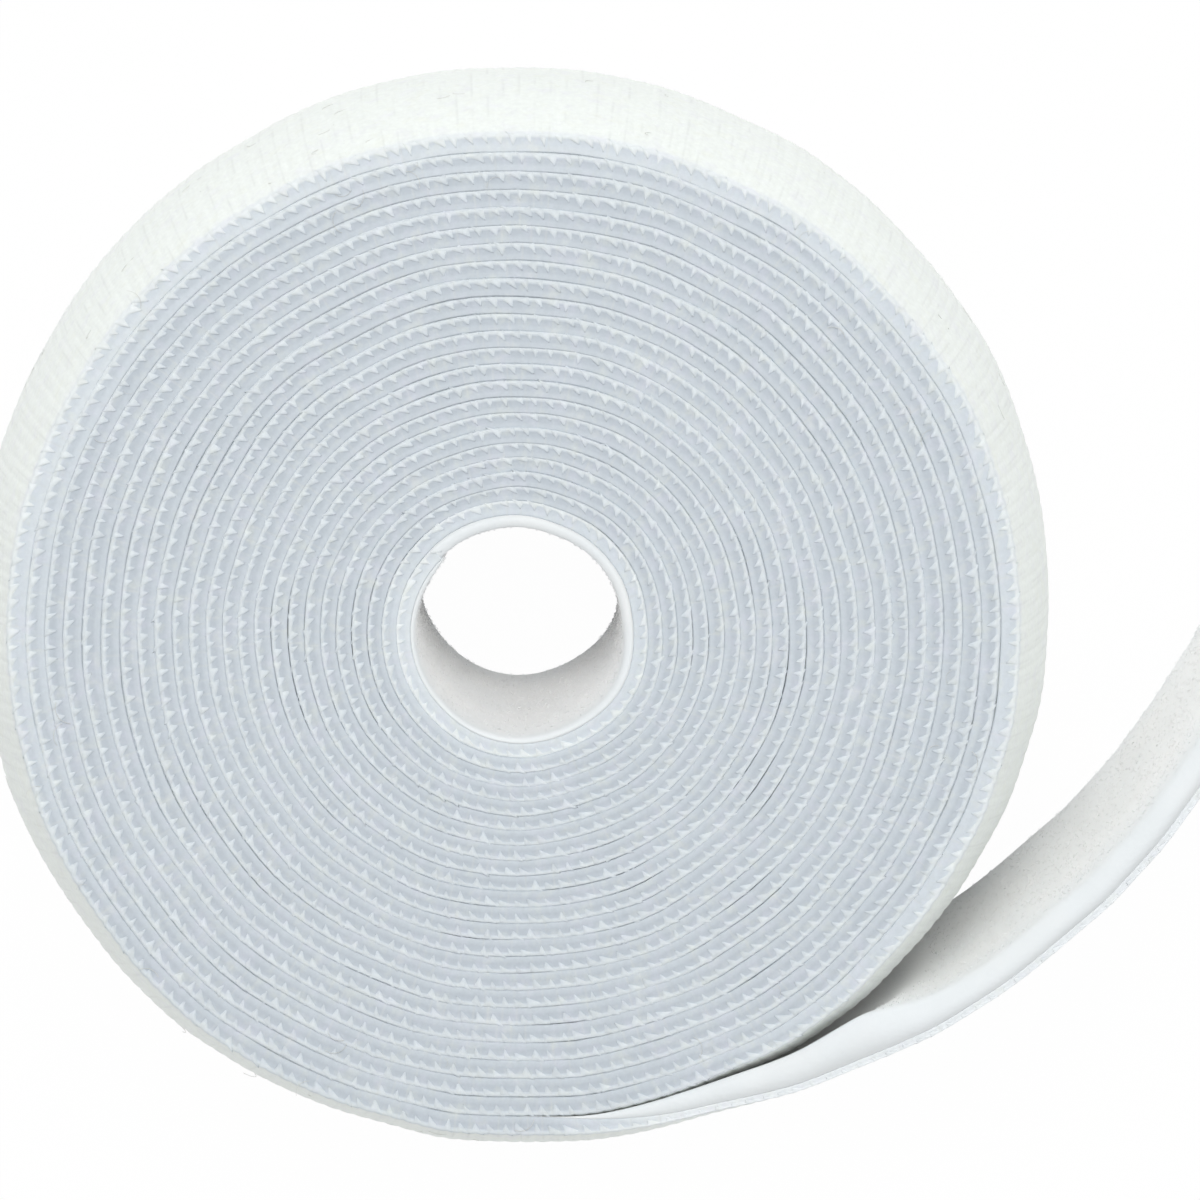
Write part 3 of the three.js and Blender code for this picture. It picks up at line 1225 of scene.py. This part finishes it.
def floor_material():
    """Matt white that the camera sees as the white background, with the roll's faint shadow."""
    scene = bpy.context.scene
    material, tree, surface = principled("floor_white")
    surface.inputs["Base Color"].default_value = coloured(scene.tape_colours.floor)
    surface.inputs["Roughness"].default_value = 0.9
    share = seen_directly(tree) * scene.tape_stage.whiteness
    output = tree.nodes["Material Output"]
    shown_white(tree, share, surface, "ShaderNodeEmission", output)
    return material


def shown_white(tree, share, shader, kind, output):
    """Puts out a shader, turned to plain white of some kind by a share."""
    white = node(tree, kind, {"Color": (1, 1, 1, 1), "Strength": 1.0})
    blended = node(tree, "ShaderNodeMixShader", {"Fac": share})
    tree.links.new(shader.outputs[0], blended.inputs[1])
    tree.links.new(white.outputs[0], blended.inputs[2])
    tree.links.new(blended.outputs[0], output.inputs["Surface"])


def seen_directly(tree):
    """1 for rays from the camera, off gloss or through glass."""
    rays = node(tree, "ShaderNodeLightPath")
    camera, glossy, through = (
        Wire(tree, rays.outputs[name])
        for name in ("Is Camera Ray", "Is Glossy Ray", "Is Transmission Ray")
    )
    return camera.through("MAXIMUM", glossy).through("MAXIMUM", through)


def world_light():
    """Even light all round, which the camera sees as white."""
    settings = bpy.context.scene.tape_stage
    world = bpy.data.worlds.new("studio")
    bpy.context.scene.world = world
    world.use_nodes = True
    tree = world.node_tree
    inputs = {"Color": coloured(settings.world), "Strength": settings.ambient}
    soft = node(tree, "ShaderNodeBackground", inputs)
    output = tree.nodes["World Output"]
    shown_white(tree, seen_directly(tree), soft, "ShaderNodeBackground", output)


def lamp(name, place, side, power):
    """A square soft lamp that faces the roll."""
    data = bpy.data.lights.new(name, "AREA")
    data.size = side
    data.energy = power
    light = bpy.data.objects.new(name, data)
    bpy.context.collection.objects.link(light)
    light.location = place
    light.rotation_euler = Vector(place).to_track_quat("Z", "Y").to_euler()


class TAPE_PT_sidebar(bpy.types.Panel):
    """Lists the pieces of the roll and their sizes"""

    bl_idname = "TAPE_PT_sidebar"
    bl_label = "Tape Roll"
    bl_space_type = "VIEW_3D"
    bl_region_type = "UI"
    bl_category = "Tape Roll"

    def draw(self, context):
        for operator in OPERATORS:
            self.layout.operator(operator.bl_idname)
        for label in SIZE_GROUPS:
            group = getattr(context.scene, label)
            box = self.layout.box()
            for name in group.__annotations__:
                box.prop(group, name)


SIZE_GROUPS = {
    "tape_sizes": TapeSizes,
    "winding_sizes": WindingSizes,
    "free_end_sizes": FreeEndSizes,
    "hair_sizes": HairSizes,
    "tape_colours": Colours,
    "tape_stage": StageSizes,
}
OPERATORS = (
    TAPE_OT_camera,
    TAPE_OT_winding,
    TAPE_OT_returns,
    TAPE_OT_hairs,
    TAPE_OT_bore,
    TAPE_OT_free_end,
    TAPE_OT_stage,
)


def register():
    for kind in (*SIZE_GROUPS.values(), *OPERATORS, TAPE_PT_sidebar):
        bpy.utils.register_class(kind)
    for label, kind in SIZE_GROUPS.items():
        setattr(bpy.types.Scene, label, PointerProperty(type=kind))


def unregister():
    for label in SIZE_GROUPS:
        delattr(bpy.types.Scene, label)
    for kind in (TAPE_PT_sidebar, *reversed(OPERATORS), *SIZE_GROUPS.values()):
        bpy.utils.unregister_class(kind)


def main():
    register()
    bpy.ops.tape.camera()
    bpy.ops.tape.winding()
    bpy.ops.tape.returns()
    bpy.ops.tape.hairs()
    bpy.ops.tape.bore()
    bpy.ops.tape.free_end()
    bpy.ops.tape.stage()


if __name__ == "__main__":
    main()
